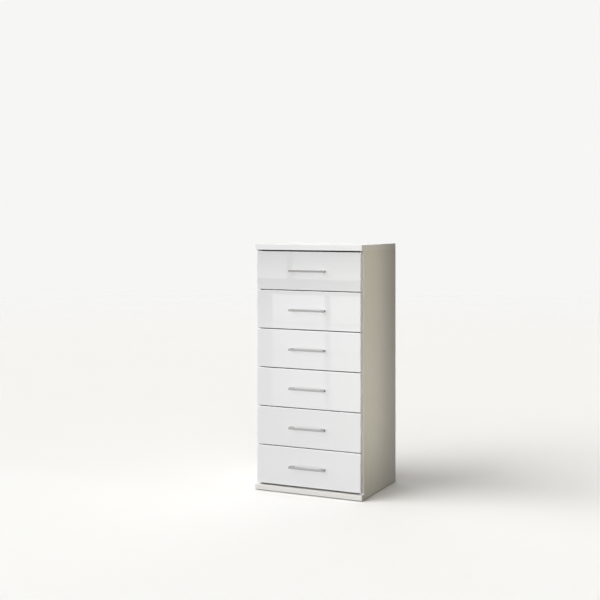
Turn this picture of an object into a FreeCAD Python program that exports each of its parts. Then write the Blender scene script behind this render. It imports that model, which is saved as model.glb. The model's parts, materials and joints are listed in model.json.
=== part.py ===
import FreeCAD, Part
import os

# Tall, narrow chest of six equal drawers, built as flat-pack furniture is built.
# X runs from left to right, Y from front to back and Z up. The origin is on the floor, in the
# middle of the overall box, handles included. All sizes are in millimetres.

# Carcass
carcass_width = 450.0
carcass_depth = 360.0
overall_height = 960.0
top_thickness = 22.0
base_thickness = 19.0
side_thickness = 16.0
back_thickness = 3.0
back_inset = 12.0
rail_thickness = 16.0
rail_depth = 70.0
rail_setback = 60.0
drawers_above_rail = 3
edge_radius = 1.0

# Drawer fronts
drawer_count = 6
front_thickness = 16.0
front_setback = 5.0
front_inset = 7.0
front_gap = 3.0
top_gap = 5.5
bottom_gap = 7.5
front_edge_radius = 2.0

# Drawer boxes
box_length = 305.0
box_below_front_top = 23.0
box_above_front_bottom = 15.0
box_side_thickness = 15.0
box_back_thickness = 12.0
drawer_bottom_thickness = 3.0
drawer_bottom_height = 10.0

# Runner strips, which the grooved drawer sides slide on
strip_height = 16.0
strip_length = 270.0
strip_setback = 38.0
runner_groove_depth = 8.0
runner_groove_stop = 30.0

# Handles
handle_length = 148.0
handle_projection = 22.0
handle_height = 8.0
handle_bar_thickness = 6.0
handle_hole_spacing = 128.0
handle_foot_length = 16.0
handle_inner_radius = 9.0
handle_outer_radius = 3.0
handle_edge_radius = 0.8
handle_edge_tolerance = 0.05

# Floor glides
glide_height = 3.0
glide_radius = 11.0
glide_edge_distance = 30.0
glide_pin_radius = 1.5
glide_pin_length = 12.0
glide_chamfer = 1.0

# Fittings
dowel_radius = 4.0
dowel_length = 30.0
dowel_chamfer = 1.0
dowel_cover = 5.0
dowel_cover_slab = 12.0
dowel_edge_distance = 82.0
box_dowel_edge_distance = 20.0
rail_dowel_spacing = 40.0
cam_radius = 7.5
cam_depth = 12.5
cam_end_distance = 34.0
cam_edge_distance = 50.0
cam_slot_radius = 3.5
cam_bolt_radius = 3.0
cam_bolt_grip = 10.0
cam_bolt_tip = 4.0
handle_screw_radius = 2.0
handle_screw_grip = 9.0
handle_screw_head_radius = 4.0
handle_screw_head_height = 2.4
strip_screw_radius = 1.5
strip_screw_grip = 11.0
strip_screw_head_radius = 3.3
strip_screw_head_height = 2.6
strip_screw_end_distance = 40.0

# Clearances
front_clearance = 1.0
box_side_gap = 5.0
runner_play = 0.5
runner_side_play = 0.8
groove_depth = 6.0
groove_slack = 0.5
groove_play = 0.1
hole_play = 0.05
hole_relief = 1.0

# Places worked out from the sizes above
handle_overhang = handle_projection - front_setback
slab_front_y = handle_overhang - (carcass_depth + handle_overhang) / 2.0
slab_rear_y = slab_front_y + carcass_depth
front_face_y = slab_front_y + front_setback
front_rear_y = front_face_y + front_thickness
side_front_y = front_rear_y + front_clearance
back_rear_y = slab_rear_y - back_inset
back_front_y = back_rear_y - back_thickness
half_width = carcass_width / 2.0
inner_half_width = half_width - side_thickness
base_top_z = glide_height + base_thickness
top_underside_z = overall_height - top_thickness

stack_height = top_underside_z - base_top_z - top_gap - bottom_gap
front_height = (stack_height - (drawer_count - 1) * front_gap) / drawer_count
front_pitch = front_height + front_gap
front_half_width = half_width - front_inset

box_height = front_height - box_below_front_top - box_above_front_bottom
box_half_width = inner_half_width - box_side_gap
box_inner_half_width = box_half_width - box_side_thickness
box_rear_y = front_rear_y + box_length
box_back_front_y = box_rear_y - box_back_thickness
strip_width = box_side_gap + runner_groove_depth - runner_side_play
strip_front_y = side_front_y + strip_setback
strip_rear_y = strip_front_y + strip_length

LEFT = -1.0
RIGHT = 1.0
ALONG_X = FreeCAD.Vector(1, 0, 0)
ALONG_Y = FreeCAD.Vector(0, 1, 0)
ALONG_Z = FreeCAD.Vector(0, 0, 1)


def block(x0, x1, y0, y1, z0, z1):
    """A box between two corners, given in either order along X."""
    low_x = min(x0, x1)
    return Part.makeBox(abs(x1 - x0), y1 - y0, z1 - z0, FreeCAD.Vector(low_x, y0, z0))


def rod(radius, length, start, direction):
    """A round bar or a drilled hole that starts at a point."""
    return Part.makeCylinder(radius, length, FreeCAD.Vector(*start), direction)


def round_edges(solid, radius, chosen):
    """Rounds the edges whose middle point passes the test."""
    edges = [edge for edge in solid.Edges if chosen(edge.CenterOfMass)]
    return solid.makeFillet(radius, edges)


def cut_all(solid, tools):
    """The solid with every tool taken out of it."""
    return solid.cut(tools) if tools else solid


def export(name, solids):
    """Writes one node, of one solid or of several separate ones."""
    shape = solids[0] if len(solids) == 1 else Part.makeCompound(solids)
    shape.exportStep("parts/" + name + ".step")


def front_bottom_z(number):
    """Lower edge of a drawer front; drawer 1 is the top one."""
    return base_top_z + bottom_gap + (drawer_count - number) * front_pitch


def box_bottom_z(number):
    """Lower edge of a drawer box."""
    return front_bottom_z(number) + box_above_front_bottom


def runner_z(number):
    """Middle height of a drawer's runner strips."""
    return box_bottom_z(number) + box_height / 2.0


def slab_y_pair(edge_distance):
    """Two places in from the side panels' front and rear edges."""
    return [side_front_y + edge_distance, slab_rear_y - edge_distance]


def rail_z():
    """Lower face of the rail, midway between the drawer boxes above and below it."""
    upper_box_bottom = box_bottom_z(drawers_above_rail)
    lower_box_top = box_bottom_z(drawers_above_rail + 1) + box_height
    return (upper_box_bottom + lower_box_top - rail_thickness) / 2.0


def rail_y_pair():
    """Two dowel places across the rail's depth."""
    middle = side_front_y + rail_setback + rail_depth / 2.0
    return [middle - rail_dowel_spacing / 2.0, middle + rail_dowel_spacing / 2.0]


def dowel(face_point, into_face, cover_depth):
    """A chamfered dowel that stands in a face and reaches out of it into an end."""
    start = FreeCAD.Vector(*face_point) + into_face * cover_depth
    pin = Part.makeCylinder(dowel_radius, dowel_length, start, into_face * -1.0)
    rims = [edge for edge in pin.Edges if edge.Curve.TypeId == "Part::GeomCircle"]
    return pin.makeChamfer(dowel_chamfer, rims)


def dowel_hole_in_face(face_point, into_face, cover_depth):
    """The blind hole for a dowel in a board's face."""
    return rod(dowel_radius + hole_play, cover_depth, face_point, into_face)


def dowel_hole_in_end(face_point, into_face, cover_depth):
    """The blind hole for the same dowel in the end of the board that meets the face."""
    depth = dowel_length - cover_depth + hole_relief
    return rod(dowel_radius + hole_play, depth, face_point, into_face * -1.0)


def slab_dowel_sites():
    """Dowels between the side panels and the two slabs: point, direction into the slab, depth."""
    sites = []
    for side in (LEFT, RIGHT):
        x = side * (half_width - side_thickness / 2.0)
        for y in slab_y_pair(dowel_edge_distance):
            sites.append(((x, y, top_underside_z), ALONG_Z, top_thickness - dowel_cover_slab))
            sites.append(((x, y, base_top_z), ALONG_Z * -1.0, base_thickness - dowel_cover_slab))
    return sites


def rail_dowel_sites():
    """Dowels between the side panels and the rail."""
    sites = []
    for side in (LEFT, RIGHT):
        for y in rail_y_pair():
            point = (side * inner_half_width, y, rail_z() + rail_thickness / 2.0)
            sites.append((point, ALONG_X * side, side_thickness - dowel_cover))
    return sites


def cam_sites():
    """Cam fittings in the side panels: side, y, height of the joint, direction into the slab."""
    sites = []
    for side in (LEFT, RIGHT):
        for y in slab_y_pair(cam_edge_distance):
            sites.append((side, y, top_underside_z, 1.0))
            sites.append((side, y, base_top_z, -1.0))
    return sites


def cam_bolt_axis_x(side):
    """The bolts run in the middle of the side panel's thickness."""
    return side * (half_width - side_thickness / 2.0)


def cam_fittings():
    """Eight round cams in the side panels, and the bolts that they pull on."""
    solids = []
    for side, y, joint_z, into_slab in cam_sites():
        cam_z = joint_z - into_slab * cam_end_distance
        start = (side * inner_half_width, y, cam_z)
        cam = rod(cam_radius - hole_play, cam_depth, start, ALONG_X * side)
        axis_x = cam_bolt_axis_x(side)
        mouth = rod(cam_slot_radius, cam_end_distance, (axis_x, y, cam_z), ALONG_Z * into_slab)
        solids.append(cam.cut(mouth))
        tip_z = cam_z + into_slab * cam_bolt_tip
        length = cam_end_distance - cam_bolt_tip + cam_bolt_grip
        solids.append(rod(cam_bolt_radius, length, (axis_x, y, tip_z), ALONG_Z * into_slab))
    return solids


def slab_holes(joint_z, into_slab):
    """Dowel and bolt holes in the face of the top or the base."""
    holes = []
    for point, direction, depth in slab_dowel_sites():
        if point[2] == joint_z:
            holes.append(dowel_hole_in_face(point, direction, depth))
    for side, y, z, direction in cam_sites():
        if z == joint_z:
            start = (cam_bolt_axis_x(side), y, joint_z)
            radius = cam_bolt_radius + hole_play
            holes.append(rod(radius, cam_bolt_grip + hole_relief, start, ALONG_Z * into_slab))
    return holes


def back_groove(z0, z1):
    """The groove that the back panel sits in, as a bar to take out."""
    reach = inner_half_width + groove_depth
    return block(-reach, reach, back_front_y - groove_play, back_rear_y + groove_play, z0, z1)


def is_front(point):
    """True for an edge that runs along the slabs' front face."""
    return abs(point.y - slab_front_y) < edge_radius


def top_panel():
    """Thick slab whose front edge stands forward of the drawer fronts."""
    slab = block(-half_width, half_width, slab_front_y, slab_rear_y, top_underside_z, overall_height)
    slab = round_edges(slab, edge_radius, lambda p: p.z > top_underside_z or is_front(p))
    tools = slab_holes(top_underside_z, 1.0)
    tools.append(back_groove(top_underside_z, top_underside_z + groove_depth))
    return cut_all(slab, tools)


def base_panel():
    """Thick slab under the drawers, as wide and deep as the top."""
    slab = block(-half_width, half_width, slab_front_y, slab_rear_y, glide_height, base_top_z)
    slab = round_edges(slab, edge_radius, lambda p: p.z < base_top_z or is_front(p))
    tools = slab_holes(base_top_z, -1.0)
    tools.append(back_groove(base_top_z - groove_depth, base_top_z))
    for x, y in glide_places():
        tools.append(rod(glide_pin_radius, glide_pin_length, (x, y, glide_height), ALONG_Z))
    return cut_all(slab, tools)


def side_panel(side):
    """Side board between the slabs, flush with their ends and behind the drawer fronts."""
    outer = side * half_width
    inner = side * inner_half_width
    board = block(outer, inner, side_front_y, slab_rear_y, base_top_z, top_underside_z)
    tools = [back_groove(base_top_z, top_underside_z)]
    for point, direction, depth in slab_dowel_sites():
        if point[0] * side > 0:
            tools.append(dowel_hole_in_end(point, direction, depth))
    for point, direction, depth in rail_dowel_sites():
        if point[0] * side > 0:
            tools.append(dowel_hole_in_face(point, direction, depth))
    for cam_side, y, joint_z, into_slab in cam_sites():
        if cam_side == side:
            cam_z = joint_z - into_slab * cam_end_distance
            tools.append(rod(cam_radius, cam_depth, (inner, y, cam_z), ALONG_X * side))
            start = (cam_bolt_axis_x(side), y, joint_z)
            tools.append(rod(cam_slot_radius, cam_end_distance, start, ALONG_Z * -into_slab))
    for number in range(1, drawer_count + 1):
        for y in strip_screw_places():
            start = (inner, y, runner_z(number))
            radius = strip_screw_radius + hole_play
            tools.append(rod(radius, strip_screw_grip + hole_relief, start, ALONG_X * side))
    return cut_all(board, tools)


def back_panel():
    """Thin board in a groove all the way round."""
    reach = groove_depth - groove_slack
    return block(-inner_half_width - reach, inner_half_width + reach, back_front_y, back_rear_y,
                 base_top_z - reach, top_underside_z + reach)


def middle_rail():
    """Flat rail that ties the two side panels together halfway up."""
    y0 = side_front_y + rail_setback
    rail = block(-inner_half_width, inner_half_width, y0, y0 + rail_depth,
                 rail_z(), rail_z() + rail_thickness)
    tools = [dowel_hole_in_end(*site) for site in rail_dowel_sites()]
    return cut_all(rail, tools)


def glide_places():
    """The four corners of the base that the glides are nailed under."""
    x = half_width - glide_edge_distance
    ys = (slab_front_y + glide_edge_distance, slab_rear_y - glide_edge_distance)
    return [(side * x, y) for side in (LEFT, RIGHT) for y in ys]


def floor_glides():
    """Four round plastic feet, each with its pin."""
    solids = []
    for x, y in glide_places():
        disc = rod(glide_radius, glide_height, (x, y, 0.0), ALONG_Z)
        rim = [edge for edge in disc.Edges if edge.CenterOfMass.z < glide_chamfer
               and edge.Curve.TypeId == "Part::GeomCircle"]
        disc = disc.makeChamfer(glide_chamfer, rim)
        pin_radius = glide_pin_radius - hole_play
        pin_length = glide_pin_length - hole_relief
        pin = rod(pin_radius, pin_length, (x, y, glide_height), ALONG_Z)
        solids.append(disc.fuse(pin))
    return solids


def strip_screw_places():
    """Two screws along each runner strip."""
    return [strip_front_y + strip_screw_end_distance, strip_rear_y - strip_screw_end_distance]


def runner_strips(side):
    """Six strips on one side panel, each with two countersunk holes."""
    solids = []
    outer = side * inner_half_width
    inner = side * (inner_half_width - strip_width)
    for number in range(1, drawer_count + 1):
        z = runner_z(number)
        strip = block(outer, inner, strip_front_y, strip_rear_y,
                      z - strip_height / 2.0, z + strip_height / 2.0)
        tools = []
        for y in strip_screw_places():
            radius = strip_screw_radius + hole_play
            tools.append(rod(radius, strip_width, (inner, y, z), ALONG_X * side))
            tools.append(screw_head(inner, y, z, side, hole_play))
        solids.append(cut_all(strip, tools))
    return solids


def screw_head(x, y, z, side, play):
    """Countersunk head, its flat face towards the middle of the chest."""
    start = FreeCAD.Vector(x, y, z)
    wide = strip_screw_head_radius + play
    narrow = strip_screw_radius + play
    return Part.makeCone(wide, narrow, strip_screw_head_height, start, ALONG_X * side)


def runner_screws():
    """The screws that hold the runner strips."""
    solids = []
    for side in (LEFT, RIGHT):
        inner = side * (inner_half_width - strip_width)
        for number in range(1, drawer_count + 1):
            for y in strip_screw_places():
                z = runner_z(number)
                length = strip_width + strip_screw_grip
                shank = rod(strip_screw_radius, length, (inner, y, z), ALONG_X * side)
                solids.append(shank.fuse(screw_head(inner, y, z, side, 0.0)))
    return solids


def front_dowel_sites(number):
    """Dowels between a drawer's front and its two sides."""
    sites = []
    for side in (LEFT, RIGHT):
        x = side * (box_half_width - box_side_thickness / 2.0)
        for z in box_dowel_heights(number):
            sites.append(((x, front_rear_y, z), ALONG_Y * -1.0, front_thickness - dowel_cover))
    return sites


def box_back_dowel_sites(number):
    """Dowels between a drawer's sides and its back."""
    sites = []
    y = box_back_front_y + box_back_thickness / 2.0
    for side in (LEFT, RIGHT):
        for z in box_dowel_heights(number):
            point = (side * box_inner_half_width, y, z)
            sites.append((point, ALONG_X * side, box_side_thickness - dowel_cover))
    return sites


def box_dowel_heights(number):
    """Two heights, in from the lower and upper edge of the drawer box."""
    low = box_bottom_z(number)
    return [low + box_dowel_edge_distance, low + box_height - box_dowel_edge_distance]


def handle_screw_places(number):
    """The two screws of a handle, on the middle of the front."""
    z = front_bottom_z(number) + front_height / 2.0
    return [(side * handle_hole_spacing / 2.0, z) for side in (LEFT, RIGHT)]


def bottom_groove(number):
    """Room for a drawer's bottom panel in the four boards around it."""
    return drawer_bottom(number, groove_depth, groove_play)


def drawer_bottom(number, reach, play):
    """The bottom panel, reaching into the grooves around it."""
    z = box_bottom_z(number) + drawer_bottom_height
    return block(-box_inner_half_width - reach, box_inner_half_width + reach,
                 front_rear_y - reach, box_back_front_y + reach,
                 z - play, z + drawer_bottom_thickness + play)


def drawer_front(number):
    """Overlay front with softly rounded edges all round."""
    z = front_bottom_z(number)
    board = block(-front_half_width, front_half_width, front_face_y, front_rear_y, z, z + front_height)
    board = round_edges(board, front_edge_radius, lambda p: p.y < front_rear_y)
    tools = [bottom_groove(number)]
    tools += [dowel_hole_in_face(*site) for site in front_dowel_sites(number)]
    for x, screw_z in handle_screw_places(number):
        start = (x, front_face_y, screw_z)
        tools.append(rod(handle_screw_radius + hole_play, front_thickness, start, ALONG_Y))
    return cut_all(board, tools)


def drawer_side(number, side):
    """Side of the drawer box, grooved outside for the runner and inside for the bottom."""
    outer = side * box_half_width
    inner = side * box_inner_half_width
    z = box_bottom_z(number)
    board = block(outer, inner, front_rear_y, box_rear_y, z, z + box_height)
    groove_half = strip_height / 2.0 + runner_play
    groove_x = side * (box_half_width - runner_groove_depth)
    groove = block(outer, groove_x, front_rear_y + runner_groove_stop, box_rear_y,
                   runner_z(number) - groove_half, runner_z(number) + groove_half)
    tools = [bottom_groove(number), groove]
    for point, direction, depth in front_dowel_sites(number):
        if point[0] * side > 0:
            tools.append(dowel_hole_in_end(point, direction, depth))
    for point, direction, depth in box_back_dowel_sites(number):
        if point[0] * side > 0:
            tools.append(dowel_hole_in_face(point, direction, depth))
    return cut_all(board, tools)


def drawer_back(number):
    """Rear board of the drawer box, between the two sides."""
    z = box_bottom_z(number)
    board = block(-box_inner_half_width, box_inner_half_width, box_back_front_y, box_rear_y,
                  z, z + box_height)
    tools = [bottom_groove(number)]
    tools += [dowel_hole_in_end(*site) for site in box_back_dowel_sites(number)]
    return cut_all(board, tools)


def near(value, wanted):
    """True for two places that are the same, apart from rounding."""
    return abs(value - wanted) < handle_edge_tolerance


def handle(number):
    """Bridge handle: a slim straight bar whose ends turn back to the front."""
    z = front_bottom_z(number) + front_height / 2.0 - handle_height / 2.0
    half = handle_length / 2.0
    bar_y = front_face_y - handle_projection

    def is_outer_corner(p):
        return near(p.y, bar_y) and near(abs(p.x), half)

    def is_inner_corner(p):
        return near(p.z, z + handle_height / 2.0) and p.y < front_face_y

    def is_rim(p):
        return near(p.z, z) or near(p.z, z + handle_height)

    body = block(-half, half, bar_y, front_face_y, z, z + handle_height)
    body = round_edges(body, handle_outer_radius, is_outer_corner)
    gap_half = half - handle_foot_length
    gap = block(-gap_half, gap_half, bar_y + handle_bar_thickness, front_face_y + handle_inner_radius,
                z, z + handle_height)
    body = body.cut(round_edges(gap, handle_inner_radius, is_inner_corner))
    body = round_edges(body, handle_edge_radius, is_rim)
    tools = []
    for x, screw_z in handle_screw_places(number):
        start = (x, front_face_y, screw_z)
        depth = handle_screw_grip + hole_relief
        tools.append(rod(handle_screw_radius + hole_play, depth, start, ALONG_Y * -1.0))
    return cut_all(body, tools)


def handle_screws(number):
    """Pan-head machine screws, driven from inside the drawer."""
    solids = []
    for x, z in handle_screw_places(number):
        start = (x, front_rear_y, z)
        shank = rod(handle_screw_radius, front_thickness + handle_screw_grip, start, ALONG_Y * -1.0)
        head = rod(handle_screw_head_radius, handle_screw_head_height, start, ALONG_Y)
        solids.append(shank.fuse(head))
    return solids


def export_carcass():
    """Everything that stands still."""
    export("top_panel", [top_panel()])
    export("base_panel", [base_panel()])
    export("left_side_panel", [side_panel(LEFT)])
    export("right_side_panel", [side_panel(RIGHT)])
    export("back_panel", [back_panel()])
    export("middle_rail", [middle_rail()])
    export("carcass_dowels", [dowel(*site) for site in slab_dowel_sites() + rail_dowel_sites()])
    export("cam_fittings", cam_fittings())
    export("floor_glides", floor_glides())
    export("left_runner_strips", runner_strips(LEFT))
    export("right_runner_strips", runner_strips(RIGHT))
    export("runner_screws", runner_screws())


def export_drawer(number):
    """One drawer's eight nodes."""
    name = "drawer_" + str(number)
    sites = front_dowel_sites(number) + box_back_dowel_sites(number)
    reach = groove_depth - groove_slack
    export(name + "_front", [drawer_front(number)])
    export(name + "_left_side", [drawer_side(number, LEFT)])
    export(name + "_right_side", [drawer_side(number, RIGHT)])
    export(name + "_back", [drawer_back(number)])
    export(name + "_bottom", [drawer_bottom(number, reach, 0.0)])
    export(name + "_handle", [handle(number)])
    export(name + "_screws", handle_screws(number))
    export(name + "_dowels", [dowel(*site) for site in sites])


os.makedirs("parts", exist_ok=True)
export_carcass()
for drawer_number in range(1, drawer_count + 1):
    export_drawer(drawer_number)
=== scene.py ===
import json
import math

import bmesh
import bpy
from mathutils import Matrix, Vector

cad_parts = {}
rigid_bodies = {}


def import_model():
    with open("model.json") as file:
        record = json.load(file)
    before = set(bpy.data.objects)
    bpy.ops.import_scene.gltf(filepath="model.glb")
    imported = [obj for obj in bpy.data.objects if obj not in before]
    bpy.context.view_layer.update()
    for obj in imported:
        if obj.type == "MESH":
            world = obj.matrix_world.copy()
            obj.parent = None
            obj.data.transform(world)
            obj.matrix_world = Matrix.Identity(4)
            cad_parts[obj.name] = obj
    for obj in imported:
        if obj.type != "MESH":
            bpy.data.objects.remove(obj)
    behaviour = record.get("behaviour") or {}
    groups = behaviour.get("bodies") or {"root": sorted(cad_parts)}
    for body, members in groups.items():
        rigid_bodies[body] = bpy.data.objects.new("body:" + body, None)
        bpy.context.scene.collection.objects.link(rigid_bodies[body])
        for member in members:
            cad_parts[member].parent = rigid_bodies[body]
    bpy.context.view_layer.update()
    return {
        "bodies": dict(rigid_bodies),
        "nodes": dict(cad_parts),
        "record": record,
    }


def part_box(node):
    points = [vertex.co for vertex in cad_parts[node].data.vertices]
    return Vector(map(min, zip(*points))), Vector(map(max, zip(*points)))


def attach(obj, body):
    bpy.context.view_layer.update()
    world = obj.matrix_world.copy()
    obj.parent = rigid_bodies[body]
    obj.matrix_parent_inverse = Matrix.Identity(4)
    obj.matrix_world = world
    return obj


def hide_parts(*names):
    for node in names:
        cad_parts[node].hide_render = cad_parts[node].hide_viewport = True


bl_info = {
    "name": "Tall Chest of Drawers",
    "version": (1, 0, 0),
    "blender": (4, 5, 0),
    "location": "View3D > Sidebar > Chest",
    "description": "Finishes and fittings of a narrow chest with six gloss-white drawers",
    "category": "Object",
}

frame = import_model()

DRAWERS = sorted(name for name in frame["bodies"] if name.startswith("drawer_"))
SIDES = (-1.0, 1.0)
MM = 0.001
SAME_PLACE = 1e-6            # two corners closer than this share a coordinate

FLOOR_RADIUS = 40.0
FLOOR_FADE = (5.0, 14.0)     # where the floor starts to melt into the backdrop and where it has

# Windows that only mirror images show. Each has a name, where its panes start and end in X, the
# heights of its crossbars, and its brightness at the foot and at the head.
WINDOW_Y = -1.9
CROSSBAR = 0.008
WINDOWS = (
    ("window_low", ((-1.02, -0.70), (-0.665, -0.45)), (0.006, 0.324, 0.479, 0.64), (1.9, 2.2)),
    ("window_high", ((-1.15, -0.93), (-0.89, -0.45)), (0.72, 0.90), (1.7, 0.4)))
SHEEN_Y = (-16.0, -0.25)     # the bright part of the floor, from far to near
SHEEN_FADE = (-14.0, -6.0)
SHEEN = (0.7, 1.5)           # its brightness far out and near the chest


def linear(hex_colour):
    """Turns an sRGB hex colour into the linear values that Blender works in."""
    channels = [int(hex_colour[i:i + 2], 16) / 255.0 for i in (1, 3, 5)]
    return tuple(c / 12.92 if c <= 0.04045 else ((c + 0.055) / 1.055) ** 2.4 for c in channels)


# ---------------------------------------------------------------- settings

def size(name, description, millimetres):
    """A length that shows in the scene's own units."""
    return bpy.props.FloatProperty(name=name, description=description, unit="LENGTH",
                                   default=millimetres * MM, min=0.0, precision=5)


def colour(name, description, hex_colour):
    """A colour swatch."""
    return bpy.props.FloatVectorProperty(name=name, description=description, subtype="COLOR",
                                         size=3, min=0.0, max=1.0, default=linear(hex_colour))


class ChestSizes(bpy.types.PropertyGroup):
    """Sizes of the pieces that are made here."""
    handle_bar: size("Handle bar", "Thickness of the handle's straight bar", 6.0)
    handle_foot: size("Handle foot", "Length of each foot along the handle", 16.0)
    handle_outer_radius: size("Handle corner", "Outside corner of the handle, seen from above", 3.0)
    handle_inner_radius: size("Handle hollow", "Inside corner between bar and foot", 9.0)
    handle_edge: size("Handle edge", "Rounding along the handle's edges", 0.8)
    screw_head: size("Screw head", "Radius of the handle screws' pan heads", 4.0)
    screw_head_height: size("Screw head height", "Height of the pan heads", 2.4)
    screw_shank: size("Screw shank", "Radius of the handle screws", 2.0)
    strip_screw_head: size("Strip screw head", "Radius of the countersunk heads", 3.3)
    strip_screw_head_height: size("Strip screw head depth", "Depth of the countersunk heads", 2.6)
    strip_screw_shank: size("Strip screw shank", "Radius of the runner screws", 1.5)
    cam_end: size("Cam distance", "From a side panel's end to the middle of the cam", 34.0)
    cam_radius: size("Cam radius", "Radius of the round cams", 7.45)
    cam_depth: size("Cam depth", "Thickness of the round cams", 12.5)
    cam_bolt: size("Cam bolt", "Radius of the bolts that the cams pull on", 3.0)
    glide_radius: size("Glide radius", "Radius of the round floor glides", 11.0)
    glide_chamfer: size("Glide edge", "Rounding of the glides' lower rim", 1.2)
    glide_pin: size("Glide pin", "Radius of the glides' pins", 1.45)


class ChestColours(bpy.types.PropertyGroup):
    """Colours of the finishes."""
    gloss: colour("Gloss front", "Lacquered drawer fronts", "#E8E9EC")
    melamine: colour("Melamine", "Faced boards of the carcass", "#ECEBE8")
    # painted light: the top panel's melamine is the same board drawn whiter and cooler, standing in for the
    # brighter light the top catches
    melamine_top_painted_light: colour("Melamine, top", "Top panel, a whiter batch", "#F2F3F6")
    foil: colour("Drawer foil", "Foil on the drawer boxes", "#E4E3DF")
    chip_light: colour("Chips, light", "Light chips in a cut board edge", "#D2B88C")
    chip_dark: colour("Chips, dark", "Dark chips in a cut board edge", "#8E6C42")
    hardboard: colour("Hardboard", "Bare face of the thin panels", "#8A6540")
    hardboard_white: colour("Hardboard, white", "Lacquered face of the thin panels", "#E6E5E1")
    handle: colour("Handle", "Satin nickel", "#929291")
    zinc: colour("Zinc", "Plated screws and cams", "#C9CAC6")
    beech: colour("Beech", "Dowels", "#C9A06C")
    strip: colour("Runner strip", "Extruded plastic", "#DAD9D4")
    glide: colour("Glide", "Moulded plastic feet", "#2A2927")
    floor: colour("Floor", "Plain pale floor", "#F6F6F4")
    backdrop: colour("Backdrop", "What is seen beyond the floor", "#F6F6F5")


# ---------------------------------------------------------------- materials

def add_node(tree, kind, settings=None, links=None, **options):
    """Adds a node, fills its sockets with settings and joins them to other nodes' outputs."""
    node = tree.nodes.new(kind)
    for name, value in options.items():
        setattr(node, name, value)
    for socket, value in (settings or {}).items():
        node.inputs[socket].default_value = value
    for socket, output in (links or {}).items():
        tree.links.new(output, node.inputs[socket])
    return node


def new_finish(name, **settings):
    """A material with one Principled shader. Settings go on the shader's own sockets."""
    material = bpy.data.materials.new(name)
    material.use_nodes = True
    tree = material.node_tree
    tree.nodes.clear()
    shader = add_node(tree, "ShaderNodeBsdfPrincipled")
    for socket, value in settings.items():
        shader.inputs[socket.replace("_", " ")].default_value = value
    add_node(tree, "ShaderNodeOutputMaterial", links={"Surface": shader.outputs["BSDF"]})
    return material, tree, shader


def per_metre(millimetres):
    """The texture scale that makes one pattern cell about this long."""
    return 1.0 / (millimetres * MM)


def rgba(rgb):
    return (*rgb, 1.0)


def shade(rgb, factor):
    """The same colour, lighter or darker."""
    return rgba([min(1.0, c * factor) for c in rgb])


def object_space(tree, stretch=(1.0, 1.0, 1.0)):
    """Places in metres on the piece itself, so a pattern moves with it."""
    place = add_node(tree, "ShaderNodeTexCoord")
    return add_node(tree, "ShaderNodeMapping", {"Scale": stretch}, {"Vector": place.outputs["Object"]})


def facing(tree, direction):
    """1 on faces turned this way, 0 elsewhere."""
    place = add_node(tree, "ShaderNodeTexCoord")
    dot = add_node(tree, "ShaderNodeVectorMath", {1: direction}, {0: place.outputs["Normal"]},
                   operation="DOT_PRODUCT")
    return add_node(tree, "ShaderNodeMath", {1: 0.7}, {0: dot.outputs["Value"]},
                    operation="GREATER_THAN").outputs[0]


def mixed(tree, factor, first, second):
    """Colour mix. Each colour is a value or another node's output."""
    node = add_node(tree, "ShaderNodeMix", data_type="RGBA")
    for socket, value in ((0, factor), (6, first), (7, second)):
        if hasattr(value, "is_linked"):
            tree.links.new(value, node.inputs[socket])
        else:
            node.inputs[socket].default_value = value
    return node.outputs[2]


def ranged(tree, output, low, high):
    """Maps a 0 to 1 pattern to the range from low to high."""
    return add_node(tree, "ShaderNodeMapRange", {3: low, 4: high}, {0: output}).outputs[0]


def grain(tree, place, millimetres, detail=2.0, roughness=0.5):
    """Soft irregular pattern with cells of a real size."""
    settings = {"Scale": per_metre(millimetres), "Detail": detail, "Roughness": roughness}
    node = add_node(tree, "ShaderNodeTexNoise", settings, {"Vector": place.outputs[0]})
    return node.outputs[0]


def bump(tree, shader, height, depth_mm, strength=1.0):
    """Relief of a real depth."""
    node = add_node(tree, "ShaderNodeBump", {"Strength": strength, "Distance": depth_mm * MM},
                    {"Height": height})
    tree.links.new(node.outputs["Normal"], shader.inputs["Normal"])


def chip_pattern(tree, colours):
    """Pressed wood chips, as a saw leaves them in the edge of a board."""
    place = object_space(tree)
    chips = add_node(tree, "ShaderNodeTexVoronoi", {"Scale": per_metre(2.4), "Randomness": 1.0},
                     {"Vector": place.outputs[0]})
    tone = add_node(tree, "ShaderNodeSeparateColor", links={0: chips.outputs["Color"]})
    wood = mixed(tree, tone.outputs[0], rgba(colours.chip_dark), rgba(colours.chip_light))
    dust = grain(tree, place, 0.7, 3.0)
    return mixed(tree, ranged(tree, dust, 0.0, 0.35), wood, shade(colours.chip_light, 1.1))


def gloss_lacquered_board(colours):
    """MDF front with white polyester lacquer under a polished clear coat; its back is melamine faced.
    The eye gets a clear mirror image over flat white, very slightly rippled like orange peel."""
    material, tree, shader = new_finish("gloss_lacquered_board", IOR=1.52, Coat_IOR=1.52,
                                        Coat_Roughness=0.02)
    place = object_space(tree)
    cloud = grain(tree, place, 160.0, 1.0)
    tint = mixed(tree, cloud, shade(colours.gloss, 0.985), shade(colours.gloss, 1.0))
    tree.links.new(tint, shader.inputs["Base Color"])
    rear = facing(tree, (0.0, 1.0, 0.0))
    tree.links.new(ranged(tree, rear, 0.03, 0.42), shader.inputs["Roughness"])
    tree.links.new(ranged(tree, rear, 1.0, 0.0), shader.inputs["Coat Weight"])
    bump(tree, shader, grain(tree, place, 9.0, 1.0), 0.002)
    return material


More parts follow.
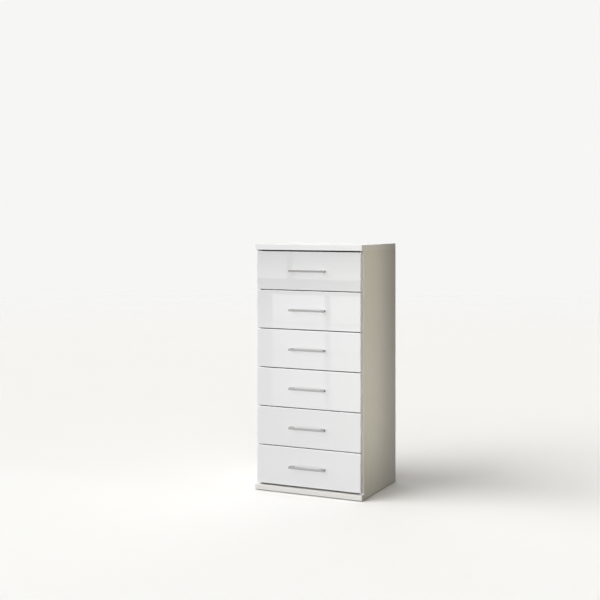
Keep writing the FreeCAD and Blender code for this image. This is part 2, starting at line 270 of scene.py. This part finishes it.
def melamine_faced_chipboard(colours, white, name):
    """Chipboard with pressed white melamine faces and banded front edges; rear edges are bare.
    The eye gets a semi-matt, finely pebbled white that blurs reflections. The pebble is about
    0.4 mm on the real board and is drawn at 1 mm so that it can show."""
    material, tree, shader = new_finish(name, IOR=1.5)
    place = object_space(tree)
    pebble = grain(tree, place, 1.0, 2.0)
    cloud = grain(tree, place, 120.0, 2.0)
    face = mixed(tree, cloud, shade(white, 0.975), rgba(white))
    rear = facing(tree, (0.0, 1.0, 0.0))
    tree.links.new(mixed(tree, rear, face, chip_pattern(tree, colours)), shader.inputs["Base Color"])
    worn = ranged(tree, grain(tree, place, 35.0, 3.0), 0.34, 0.44)
    bare = add_node(tree, "ShaderNodeMix", {3: 0.9}, {0: rear, 2: worn})
    tree.links.new(bare.outputs[0], shader.inputs["Roughness"])
    bump(tree, shader, pebble, 0.03)
    return material


def foil_wrapped_board(colours):
    """Drawer boards wrapped in printed foil; the rear ends and grooves are bare chipboard.
    The eye gets a dull off-white with fine lines along the board."""
    material, tree, shader = new_finish("foil_wrapped_board", IOR=1.48)
    place = object_space(tree, (1.0, 0.06, 1.0))
    lines = grain(tree, place, 1.6, 3.0, 0.6)
    face = mixed(tree, lines, shade(colours.foil, 0.95), shade(colours.foil, 1.0))
    rear = facing(tree, (0.0, 1.0, 0.0))
    tree.links.new(mixed(tree, rear, face, chip_pattern(tree, colours)), shader.inputs["Base Color"])
    tree.links.new(ranged(tree, rear, 0.5, 0.9), shader.inputs["Roughness"])
    bump(tree, shader, lines, 0.03)
    return material


def lacquered_hardboard(colours, bare_side, name):
    """Thin fibreboard, white lacquered on the side that shows and bare brown on the other.
    The eye gets dull white inside, and a speckled, slightly fuzzy brown outside."""
    material, tree, shader = new_finish(name, IOR=1.48)
    place = object_space(tree)
    fibre = grain(tree, place, 1.2, 6.0, 0.7)
    patches = grain(tree, place, 60.0, 3.0)
    speckle = mixed(tree, fibre, shade(colours.hardboard, 0.62), shade(colours.hardboard, 1.35))
    brown = mixed(tree, ranged(tree, patches, 0.0, 0.5), speckle, rgba(colours.hardboard))
    white = mixed(tree, patches, shade(colours.hardboard_white, 0.97), rgba(colours.hardboard_white))
    bare = facing(tree, bare_side)
    tree.links.new(mixed(tree, bare, white, brown), shader.inputs["Base Color"])
    tree.links.new(ranged(tree, bare, 0.45, 0.85), shader.inputs["Roughness"])
    bump(tree, shader, fibre, 0.04)
    return material


def satin_nickel(colours):
    """Zinc die-casting, brushed along its length and plated with satin nickel.
    The eye gets a soft grey sheen drawn out across the brush lines. The lines are about 0.05 mm
    apart on the real handle and are drawn at 0.4 mm so that they can show."""
    material, tree, shader = new_finish("satin_nickel", Metallic=1.0, Anisotropic=0.45)
    place = object_space(tree, (0.02, 1.0, 1.0))
    lines = grain(tree, place, 0.4, 4.0, 0.65)
    tint = mixed(tree, lines, shade(colours.handle, 0.9), shade(colours.handle, 1.05))
    tree.links.new(tint, shader.inputs["Base Color"])
    tree.links.new(ranged(tree, lines, 0.26, 0.38), shader.inputs["Roughness"])
    bump(tree, shader, lines, 0.01)
    return material


def zinc_plated_steel(colours):
    """Screws and cams, cold headed or cast and then barrel plated with bright zinc.
    The eye gets a cool silver with cloudy, slightly yellowish patches and small dents."""
    material, tree, shader = new_finish("zinc_plated_steel", Metallic=1.0)
    place = object_space(tree)
    cloud = grain(tree, place, 4.0, 4.0)
    tint = mixed(tree, cloud, rgba(colours.zinc), shade(colours.chip_light, 1.05))
    plated = mixed(tree, 0.18, rgba(colours.zinc), tint)
    tree.links.new(plated, shader.inputs["Base Color"])
    tree.links.new(ranged(tree, cloud, 0.24, 0.42), shader.inputs["Roughness"])
    bump(tree, shader, grain(tree, place, 0.8, 2.0), 0.02)
    return material


def beech(colours):
    """Steamed beech, turned and fluted.
    The eye gets a warm pink-brown with short dark flecks along the grain."""
    material, tree, shader = new_finish("beech", Roughness=0.62)
    place = object_space(tree, (1.0, 0.2, 1.0))
    flecks = grain(tree, place, 0.9, 5.0, 0.7)
    tint = mixed(tree, flecks, shade(colours.beech, 0.6), shade(colours.beech, 1.15))
    tree.links.new(tint, shader.inputs["Base Color"])
    bump(tree, shader, flecks, 0.05)
    return material


def extruded_plastic(colours):
    """Hard PVC, drawn through a die, then sawn to length.
    The eye gets a waxy light grey with faint straight lines along the strip."""
    material, tree, shader = new_finish("extruded_plastic", IOR=1.53)
    place = object_space(tree, (1.0, 0.01, 1.0))
    lines = grain(tree, place, 0.9, 3.0)
    tint = mixed(tree, lines, shade(colours.strip, 0.95), rgba(colours.strip))
    tree.links.new(tint, shader.inputs["Base Color"])
    tree.links.new(ranged(tree, lines, 0.3, 0.42), shader.inputs["Roughness"])
    bump(tree, shader, lines, 0.02)
    return material


def moulded_polyethylene(colours):
    """Injection-moulded feet with a spark-eroded texture.
    The eye gets a dull near-black with a fine even grain."""
    material, tree, shader = new_finish("moulded_polyethylene", IOR=1.51)
    place = object_space(tree)
    spark = grain(tree, place, 0.5, 2.0)
    tint = mixed(tree, spark, shade(colours.glide, 0.8), shade(colours.glide, 1.3))
    tree.links.new(tint, shader.inputs["Base Color"])
    tree.links.new(ranged(tree, spark, 0.45, 0.6), shader.inputs["Roughness"])
    bump(tree, shader, spark, 0.05)
    return material


def painted_floor(colours):
    """Studio floor, rolled with matt emulsion; far out it melts into the backdrop.
    The eye gets an even pale surface with almost no sheen and no horizon."""
    material, tree, shader = new_finish("painted_floor", IOR=1.3)
    place = object_space(tree)
    roll = grain(tree, place, 300.0, 3.0)
    tint = mixed(tree, roll, shade(colours.floor, 0.99), rgba(colours.floor))
    tree.links.new(tint, shader.inputs["Base Color"])
    tree.links.new(ranged(tree, roll, 0.8, 0.9), shader.inputs["Roughness"])
    distance = add_node(tree, "ShaderNodeVectorMath", links={0: place.outputs[0]}, operation="LENGTH")
    near, far = FLOOR_FADE
    fade = add_node(tree, "ShaderNodeMapRange", {1: near, 2: far, 3: 1.0, 4: 0.0},
                    {0: distance.outputs["Value"]}, interpolation_type="SMOOTHSTEP")
    tree.links.new(fade.outputs[0], shader.inputs["Alpha"])
    return material


# ---------------------------------------------------------------- shapes

def dress(nodes, material):
    """Gives CAD nodes a finish through their material slots."""
    for name in nodes:
        slots = frame["nodes"][name].material_slots
        for slot in slots:
            slot.material = material


def body_of(node):
    """The body that a node belongs to."""
    for body, members in frame["record"]["behaviour"]["bodies"].items():
        if node in members:
            return body
    raise RuntimeError(node + " belongs to no body")


def place_piece(mesh, node, material):
    """Puts a finished mesh in the scene in place of a CAD node."""
    mesh.shade_smooth()
    mesh.set_sharp_from_angle(angle=math.radians(32.0))
    mesh.materials.append(material)
    piece = bpy.data.objects.new(node + "_finished", mesh)
    bpy.context.scene.collection.objects.link(piece)
    weighted = piece.modifiers.new("even_normals", "WEIGHTED_NORMAL")
    weighted.keep_sharp = True
    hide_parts(node)
    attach(piece, body_of(node))
    return piece


def mesh_from(shape, name):
    """Turns an edit mesh into a mesh, with outward normals."""
    bmesh.ops.recalc_face_normals(shape, faces=shape.faces)
    mesh = bpy.data.meshes.new(name)
    shape.to_mesh(mesh)
    shape.free()
    return mesh


def arc(centre, radius, start, end, steps=8):
    """Points along an arc, angles in degrees."""
    points = []
    for step in range(steps + 1):
        angle = math.radians(start + (end - start) * step / steps)
        points.append((centre[0] + radius * math.cos(angle), centre[1] + radius * math.sin(angle)))
    return points


def extruded(outline, z0, z1):
    """A closed outline in X and Y, raised from one height to another."""
    shape = bmesh.new()
    ring = [shape.verts.new((x, y, z0)) for x, y in outline]
    face = shape.faces.new(ring)
    lifted = bmesh.ops.extrude_face_region(shape, geom=[face])["geom"]
    tops = [item for item in lifted if isinstance(item, bmesh.types.BMVert)]
    bmesh.ops.translate(shape, verts=tops, vec=(0.0, 0.0, z1 - z0))
    return shape


def turned(profile, steps=32):
    """A solid of revolution about Z. The profile is radius and height from end to end."""
    shape = bmesh.new()
    rings = []
    for radius, height in profile:
        if radius == 0.0:
            rings.append([shape.verts.new((0.0, 0.0, height))])
            continue
        turn = [2.0 * math.pi * step / steps for step in range(steps)]
        rings.append([shape.verts.new((radius * math.cos(a), radius * math.sin(a), height)) for a in turn])
    for lower, upper in zip(rings, rings[1:]):
        for step in range(steps):
            after = (step + 1) % steps
            corners = [lower[step % len(lower)], lower[after % len(lower)],
                       upper[after % len(upper)], upper[step % len(upper)]]
            shape.faces.new(list(dict.fromkeys(corners)))
    return shape


def with_cross_recess(shape, top, depth, reach, width):
    """Cuts a tapered cross into the flat or domed top of a turned head."""
    for across in (False, True):
        tool = bmesh.new()
        bmesh.ops.create_cube(tool, size=1.0)
        span = (width, reach * 2.0) if across else (reach * 2.0, width)
        bmesh.ops.scale(tool, verts=tool.verts, vec=(span[0], span[1], depth * 2.0))
        bmesh.ops.translate(tool, verts=tool.verts, vec=(0.0, 0.0, top))
        for vert in tool.verts:
            if vert.co.z < top:
                vert.co.x *= 0.55
                vert.co.y *= 0.55
        shape = difference(shape, tool)
    return shape


def difference(shape, tool):
    """Takes one solid out of another."""
    base = bpy.data.objects.new("carved", mesh_from(shape, "carved"))
    knife = bpy.data.objects.new("knife", mesh_from(tool, "knife"))
    for item in (base, knife):
        bpy.context.scene.collection.objects.link(item)
    cut = base.modifiers.new("cut", "BOOLEAN")
    cut.operation = "DIFFERENCE"
    cut.solver = "EXACT"
    cut.object = knife
    evaluated = base.evaluated_get(bpy.context.evaluated_depsgraph_get())
    carved = bmesh.new()
    carved.from_mesh(evaluated.to_mesh())
    evaluated.to_mesh_clear()
    for item in (base, knife):
        mesh = item.data
        bpy.data.objects.remove(item)
        bpy.data.meshes.remove(mesh)
    return carved


def repeated(parts, name):
    """One mesh of several copies. Parts are pairs of a mesh and a list of places."""
    shape = bmesh.new()
    for mesh, places in parts:
        for place in places:
            before = len(shape.verts)
            shape.from_mesh(mesh)
            shape.verts.ensure_lookup_table()
            bmesh.ops.transform(shape, matrix=place, verts=shape.verts[before:])
    return mesh_from(shape, name)


def aimed(point, direction):
    """Moves a piece that was turned about Z to a point, with its +Z turned to a direction."""
    return Matrix.Translation(point) @ Vector(direction).to_track_quat("Z", "Y").to_matrix().to_4x4()


def bridge_handle(node, sizes):
    """Slim straight bar whose ends turn back into broad feet."""
    low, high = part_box(node)
    outer = sizes.handle_outer_radius
    inner = sizes.handle_inner_radius
    bar = low.y + sizes.handle_bar
    left = low.x + sizes.handle_foot
    right = high.x - sizes.handle_foot
    outline = [(low.x, high.y)]
    outline += arc((low.x + outer, low.y + outer), outer, 180.0, 270.0)
    outline += arc((high.x - outer, low.y + outer), outer, 270.0, 360.0)
    outline += [(high.x, high.y), (right, high.y)]
    outline += arc((right - inner, bar + inner), inner, 0.0, -90.0, 12)
    outline += arc((left + inner, bar + inner), inner, -90.0, -180.0, 12)
    outline += [(left, high.y)]
    shape = extruded(outline, low.z, high.z)
    level = [e for e in shape.edges if abs(e.verts[0].co.z - e.verts[1].co.z) < SAME_PLACE]
    rims = [e for e in level if max(e.verts[0].co.y, e.verts[1].co.y) < high.y]
    rims += [e for e in level if abs(e.verts[0].co.x - e.verts[1].co.x) < SAME_PLACE and e not in rims]
    bmesh.ops.bevel(shape, geom=rims, offset=sizes.handle_edge, segments=4, profile=0.5,
                    affect="EDGES", clamp_overlap=True)
    return mesh_from(shape, node)


def pan_head_screw(sizes, length):
    """Machine screw: its head stands above Z 0 and its shank runs down from there."""
    head, height, shank = sizes.screw_head, sizes.screw_head_height, sizes.screw_shank
    profile = [(0.0, -length), (shank * 0.8, -length), (shank, -length + shank * 0.3), (shank, 0.0),
               (head * 0.98, 0.0), (head, height * 0.1), (head, height * 0.45)]
    for angle in (25, 45, 62, 75):
        turn = math.radians(angle)
        profile.append((head * math.cos(turn), height * (0.45 + 0.55 * math.sin(turn))))
    profile.append((0.0, height))
    shape = with_cross_recess(turned(profile, 40), height, height * 0.7, head * 0.55, head * 0.2)
    return mesh_from(shape, "pan_head_screw")


def countersunk_screw(sizes, length):
    """Chipboard screw: the flat head lies at Z 0 and the point is below."""
    head, depth, shank = sizes.strip_screw_head, sizes.strip_screw_head_height, sizes.strip_screw_shank
    profile = [(0.0, -length), (shank * 0.35, -length + shank * 1.2), (shank, -length + shank * 3.5),
               (shank, -depth), (head * 0.97, -head * 0.08), (head * 0.97, 0.0), (0.0, 0.0)]
    shape = with_cross_recess(turned(profile, 32), 0.0, depth * 0.6, head * 0.55, head * 0.22)
    return mesh_from(shape, "countersunk_screw")


def round_cam(sizes):
    """Cam: a disc whose face at Z 0 has a raised-looking rim and a cross slot."""
    radius, depth = sizes.cam_radius, sizes.cam_depth
    profile = [(0.0, -depth), (radius * 0.96, -depth), (radius, -depth * 0.96), (radius, -depth * 0.03),
               (radius * 0.97, 0.0), (radius * 0.82, 0.0), (radius * 0.8, -depth * 0.05),
               (0.0, -depth * 0.05)]
    shape = with_cross_recess(turned(profile, 48), -depth * 0.05, depth * 0.3, radius * 0.55, radius * 0.2)
    return mesh_from(shape, "round_cam")


def cam_bolt(radius, length):
    """Plain bolt from Z 0 up, with waisted grip rings near its far end."""
    profile = [(0.0, 0.0), (radius * 0.9, 0.0), (radius, radius * 0.1)]
    rings = 5
    for ring in range(rings):
        z = length * (0.72 + 0.05 * ring)
        profile += [(radius, z), (radius * 0.85, z + length * 0.02)]
    profile += [(radius, length * 0.98), (0.0, length)]
    return mesh_from(turned(profile, 24), "cam_bolt")


def glide(sizes, height, pin_length):
    """Foot with a rounded lower rim and a pin that goes up into the board."""
    radius, rim = sizes.glide_radius, sizes.glide_chamfer
    profile = [(0.0, 0.0), (radius - rim, 0.0)]
    profile += [(radius - rim + x, rim + z) for x, z in arc((0.0, 0.0), rim, -67.5, 0.0, 4)]
    profile += [(radius, height - rim * 0.3), (radius - rim * 0.3, height), (sizes.glide_pin, height),
                (sizes.glide_pin, height + pin_length * 0.85), (0.0, height + pin_length)]
    return mesh_from(turned(profile, 48), "glide")


# ---------------------------------------------------------------- operators

def part_nodes(ending):
    """The like-named node of every drawer."""
    return [name + ending for name in DRAWERS]


class CHEST_OT_drawer_fronts(bpy.types.Operator):
    """Lacquer the six drawer fronts"""
    bl_idname = "chest.drawer_fronts"
    bl_label = "Drawer fronts"

    def execute(self, context):
        dress(part_nodes("_front"), gloss_lacquered_board(context.scene.chest_colours))
        return {"FINISHED"}


class CHEST_OT_carcass_boards(bpy.types.Operator):
    """Face the top, base, sides and rail with melamine"""
    bl_idname = "chest.carcass_boards"
    bl_label = "Carcass boards"

    def execute(self, context):
        colours = context.scene.chest_colours
        boards = ["base_panel", "left_side_panel", "right_side_panel", "middle_rail"]
        dress(boards, melamine_faced_chipboard(colours, colours.melamine, "melamine_faced_chipboard"))
        # the top panel gets a lighter, cooler copy of the same melamine: painted light where the top catches
        # more light than the base
        dress(["top_panel"], melamine_faced_chipboard(colours, colours.melamine_top_painted_light, "melamine_faced_top"))
        return {"FINISHED"}


class CHEST_OT_thin_panels(bpy.types.Operator):
    """Lacquer the back panel and the drawer bottoms on one side"""
    bl_idname = "chest.thin_panels"
    bl_label = "Back and drawer bottoms"

    def execute(self, context):
        colours = context.scene.chest_colours
        dress(["back_panel"], lacquered_hardboard(colours, (0.0, 1.0, 0.0), "hardboard_back"))
        bottoms = lacquered_hardboard(colours, (0.0, 0.0, -1.0), "hardboard_bottom")
        dress(part_nodes("_bottom"), bottoms)
        return {"FINISHED"}


class CHEST_OT_drawer_boxes(bpy.types.Operator):
    """Wrap the drawer sides and backs in foil"""
    bl_idname = "chest.drawer_boxes"
    bl_label = "Drawer boxes"

    def execute(self, context):
        boards = part_nodes("_left_side") + part_nodes("_right_side") + part_nodes("_back")
        dress(boards, foil_wrapped_board(context.scene.chest_colours))
        return {"FINISHED"}


class CHEST_OT_handles(bpy.types.Operator):
    """Make the six bridge handles"""
    bl_idname = "chest.handles"
    bl_label = "Handles"

    def execute(self, context):
        nickel = satin_nickel(context.scene.chest_colours)
        for node in part_nodes("_handle"):
            handle = place_piece(bridge_handle(node, context.scene.chest_sizes), node, nickel)
            handle.visible_shadow = False    # switched off: the shadow of the bar on the front is left out
        return {"FINISHED"}


class CHEST_OT_screws(bpy.types.Operator):
    """Make the handle screws and the runner screws"""
    bl_idname = "chest.screws"
    bl_label = "Screws"

    def execute(self, context):
        sizes = context.scene.chest_sizes
        zinc = zinc_plated_steel(context.scene.chest_colours)
        for node in part_nodes("_screws"):
            low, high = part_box(node)
            seat = high.y - sizes.screw_head_height
            screw = pan_head_screw(sizes, seat - low.y)
            z = (low.z + high.z) / 2.0
            xs = (low.x + sizes.screw_head, high.x - sizes.screw_head)
            places = [aimed((x, seat, z), (0.0, 1.0, 0.0)) for x in xs]
            place_piece(repeated([(screw, places)], node), node, zinc)
        place_piece(self.runner_screws(sizes), "runner_screws", zinc)
        return {"FINISHED"}

    def runner_screws(self, sizes):
        """Two screws along each of the runner strips on both sides."""
        low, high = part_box("runner_screws")
        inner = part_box("left_runner_strips")[1].x
        screw = countersunk_screw(sizes, inner - low.x)
        head = sizes.strip_screw_head
        first, last = low.z + head, high.z - head
        places = []
        for row in range(len(DRAWERS)):
            z = first + (last - first) * row / (len(DRAWERS) - 1)
            for y in (low.y + head, high.y - head):
                places += [aimed((side * -inner, y, z), (-side, 0.0, 0.0)) for side in SIDES]
        return repeated([(screw, places)], "runner_screws")


class CHEST_OT_cams(bpy.types.Operator):
    """Make the cam fittings in the side panels"""
    bl_idname = "chest.cams"
    bl_label = "Cam fittings"

    def execute(self, context):
        sizes = context.scene.chest_sizes
        low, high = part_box("cam_fittings")
        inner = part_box("right_side_panel")[0].x
        middle = (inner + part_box("right_side_panel")[1].x) / 2.0
        joints = ((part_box("top_panel")[0].z, 1.0, high.z), (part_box("base_panel")[1].z, -1.0, low.z))
        cam_places = []
        bolt_places = []
        for joint_z, into_slab, tip_z in joints:
            z = joint_z - into_slab * sizes.cam_end
            for y in (low.y + sizes.cam_radius, high.y - sizes.cam_radius):
                for side in SIDES:
                    cam_places.append(aimed((side * inner, y, z), (-side, 0.0, 0.0)))
                    start = z + into_slab * sizes.cam_radius
                    bolt_places.append(aimed((side * middle, y, start), (0.0, 0.0, into_slab)))
            bolt = cam_bolt(sizes.cam_bolt, abs(tip_z - start))
        parts = [(round_cam(sizes), cam_places), (bolt, bolt_places)]
        zinc = zinc_plated_steel(context.scene.chest_colours)
        place_piece(repeated(parts, "cam_fittings"), "cam_fittings", zinc)
        return {"FINISHED"}


class CHEST_OT_dowels(bpy.types.Operator):
    """Give the dowels in the carcass and the drawers their wood"""
    bl_idname = "chest.dowels"
    bl_label = "Dowels"

    def execute(self, context):
        dress(["carcass_dowels"] + part_nodes("_dowels"), beech(context.scene.chest_colours))
        return {"FINISHED"}


class CHEST_OT_runner_strips(bpy.types.Operator):
    """Give the runner strips their plastic"""
    bl_idname = "chest.runner_strips"
    bl_label = "Runner strips"

    def execute(self, context):
        strips = ["left_runner_strips", "right_runner_strips"]
        dress(strips, extruded_plastic(context.scene.chest_colours))
        return {"FINISHED"}


class CHEST_OT_glides(bpy.types.Operator):
    """Make the four floor glides"""
    bl_idname = "chest.glides"
    bl_label = "Floor glides"

    def execute(self, context):
        sizes = context.scene.chest_sizes
        low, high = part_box("floor_glides")
        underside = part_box("base_panel")[0].z
        radius = sizes.glide_radius
        foot = glide(sizes, underside - low.z, high.z - underside)
        places = []
        for x in (low.x + radius, high.x - radius):
            for y in (low.y + radius, high.y - radius):
                places.append(Matrix.Translation((x, y, low.z)))
        plastic = moulded_polyethylene(context.scene.chest_colours)
        place_piece(repeated([(foot, places)], "floor_glides"), "floor_glides", plastic)
        return {"FINISHED"}


class CHEST_OT_stage(bpy.types.Operator):
    """Set up the floor, the light and the camera"""
    bl_idname = "chest.stage"
    bl_label = "Studio"

    def execute(self, context):
        colours = context.scene.chest_colours
        self.lay_floor(painted_floor(colours))
        self.set_world(context.scene, colours)
        self.set_lights()
        self.hang_windows()
        self.set_camera(context.scene)
        context.scene.view_settings.view_transform = "Standard"
        return {"FINISHED"}

    def lay_floor(self, paint):
        """A wide round floor that throws no light back onto the chest."""
        shape = bmesh.new()
        bmesh.ops.create_circle(shape, cap_ends=True, segments=96, radius=FLOOR_RADIUS)
        floor = bpy.data.objects.new("studio_floor", mesh_from(shape, "studio_floor"))
        floor.data.materials.append(paint)
        bpy.context.scene.collection.objects.link(floor)
        floor.visible_diffuse = False

    def set_world(self, scene, colours):
        """Dim warm room light; beyond the floor the eye sees a plain pale backdrop."""
        world = bpy.data.worlds.new("studio")
        world.use_nodes = True
        tree = world.node_tree
        tree.nodes.clear()
        room_colour = rgba(linear("#FFF4E4"))
        room = add_node(tree, "ShaderNodeBackground", {"Color": room_colour, "Strength": 0.07})
        mirrored = add_node(tree, "ShaderNodeBackground", {"Color": room_colour, "Strength": 0.5})
        backdrop = add_node(tree, "ShaderNodeBackground", {"Color": rgba(colours.backdrop), "Strength": 1.0})
        ray = add_node(tree, "ShaderNodeLightPath").outputs
        links = {0: ray["Is Glossy Ray"], 1: room.outputs[0], 2: mirrored.outputs[0]}
        around = add_node(tree, "ShaderNodeMixShader", links=links)
        links = {0: ray["Is Camera Ray"], 1: around.outputs[0], 2: backdrop.outputs[0]}
        both = add_node(tree, "ShaderNodeMixShader", links=links)
        add_node(tree, "ShaderNodeOutputWorld", links={"Surface": both.outputs[0]})
        scene.world = world

    def set_lights(self):
        """Daylight from the front left, fills in front, above and behind, and a warm strip on the right."""
        self.sun("daylight", -50.0, 32.0, 3.15, 60.0, "#FFFFFF")
        self.sun("front_fill", 10.0, 25.0, 0.65, 50.0, "#FFFFFF")
        self.sun("overhead", 0.0, 88.0, 0.5, 60.0, "#FFFFFF")
        self.sun("rear_fill", -150.0, 40.0, 0.7, 60.0, "#FFFFFF")
        strip = bpy.data.lights.new("warm_strip", "AREA")
        strip.shape = "RECTANGLE"
        strip.size = 0.25
        strip.size_y = 1.1
        strip.energy = 0.46
        strip.spread = math.radians(30.0)
        strip.color = linear("#FFF7DA")
        place = bpy.data.objects.new("warm_strip", strip)
        place.location = (1.3, -0.5, 0.6)
        place.rotation_euler = Vector((1.075, -0.40, 0.0)).to_track_quat("Z", "Y").to_euler()
        place.visible_camera = False
        bpy.context.scene.collection.objects.link(place)

    def sun(self, name, turn, height, strength, softness, hex_colour):
        """Even light. Turn is from straight ahead to the right, height is above the floor and
        softness is the light's apparent width, all in degrees."""
        light = bpy.data.lights.new(name, "SUN")
        light.energy = strength
        light.angle = math.radians(softness)
        light.color = linear(hex_colour)
        turn, height = math.radians(turn), math.radians(height)
        towards = Vector((math.sin(turn) * math.cos(height), -math.cos(turn) * math.cos(height),
                          math.sin(height)))
        place = bpy.data.objects.new(name, light)
        place.rotation_euler = towards.to_track_quat("Z", "Y").to_euler()
        bpy.context.scene.collection.objects.link(place)

    def hang_windows(self):
        """Bright panes and a bright floor that only show as reflections in the gloss."""
        for name, spans, levels, strengths in WINDOWS:
            panes = [self.pane(left, right, low + CROSSBAR / 2.0, high - CROSSBAR / 2.0)
                     for low, high in zip(levels, levels[1:]) for left, right in spans]
            self.mirror_card(name, panes, self.glow(name, 2, (levels[0], levels[-1]), strengths))
        far, near = SHEEN_Y
        reach = FLOOR_RADIUS / 4.0
        sheen = [(-reach, far, MM), (-reach, near, MM), (reach, near, MM), (reach, far, MM)]
        self.mirror_card("floor_sheen", [sheen], self.glow("floor_sheen", 1, SHEEN_FADE, SHEEN))

    def pane(self, left, right, low, high):
        """The corners of an upright rectangle in the windows' plane."""
        return [(x, WINDOW_Y, z) for x, z in ((left, low), (right, low), (right, high), (left, high))]

    def glow(self, name, axis, places, strengths):
        """A finish that shines by itself, evenly changing along one axis from place to place."""
        material = bpy.data.materials.new(name)
        material.use_nodes = True
        tree = material.node_tree
        tree.nodes.clear()
        along = add_node(tree, "ShaderNodeSeparateXYZ", links={0: object_space(tree).outputs[0]})
        ramp = add_node(tree, "ShaderNodeMapRange", {1: places[0], 2: places[1], 3: strengths[0],
                                                     4: strengths[1]}, {0: along.outputs[axis]})
        light = add_node(tree, "ShaderNodeEmission", links={"Strength": ramp.outputs[0]})
        add_node(tree, "ShaderNodeOutputMaterial", links={"Surface": light.outputs[0]})
        return material

    def mirror_card(self, name, outlines, material):
        """Flat outlines that only mirror images show."""
        shape = bmesh.new()
        for outline in outlines:
            shape.faces.new([shape.verts.new(corner) for corner in outline])
        card = bpy.data.objects.new(name, mesh_from(shape, name))
        card.data.materials.append(material)
        bpy.context.scene.collection.objects.link(card)
        card.visible_camera = False
        card.visible_diffuse = False
        card.visible_shadow = False

    def set_camera(self, scene):
        """Level view of the front and the right side from just above the top's height."""
        lens = bpy.data.cameras.new("view")
        lens.sensor_width = 36.0
        lens.lens = 67.55
        lens.shift_y = -0.1357
        camera = bpy.data.objects.new("view", lens)
        camera.location = (1.810, -4.077, 1.0595)
        camera.rotation_euler = (math.radians(90.0), 0.0, 0.4404)
        scene.collection.objects.link(camera)
        scene.camera = camera


STEPS = (CHEST_OT_drawer_fronts, CHEST_OT_carcass_boards, CHEST_OT_thin_panels, CHEST_OT_drawer_boxes,
         CHEST_OT_handles, CHEST_OT_screws, CHEST_OT_cams, CHEST_OT_dowels, CHEST_OT_runner_strips,
         CHEST_OT_glides, CHEST_OT_stage)


class CHEST_PT_panel(bpy.types.Panel):
    """Lists the chest's settings and the steps that make it."""
    bl_idname = "CHEST_PT_panel"
    bl_label = "Chest of drawers"
    bl_space_type = "VIEW_3D"
    bl_region_type = "UI"
    bl_category = "Chest"

    def draw(self, context):
        for step in STEPS:
            self.layout.operator(step.bl_idname)
        for group in (context.scene.chest_sizes, context.scene.chest_colours):
            box = self.layout.box()
            for name in group.__annotations__:
                box.prop(group, name)


CLASSES = (ChestSizes, ChestColours, *STEPS, CHEST_PT_panel)


def register():
    for item in CLASSES:
        bpy.utils.register_class(item)
    bpy.types.Scene.chest_sizes = bpy.props.PointerProperty(type=ChestSizes)
    bpy.types.Scene.chest_colours = bpy.props.PointerProperty(type=ChestColours)


def unregister():
    del bpy.types.Scene.chest_colours
    del bpy.types.Scene.chest_sizes
    for item in reversed(CLASSES):
        bpy.utils.unregister_class(item)


def main():
    """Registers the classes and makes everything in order."""
    register()
    for step in STEPS:
        group, name = step.bl_idname.split(".")
        getattr(getattr(bpy.ops, group), name)()


if __name__ == "__main__":
    main()
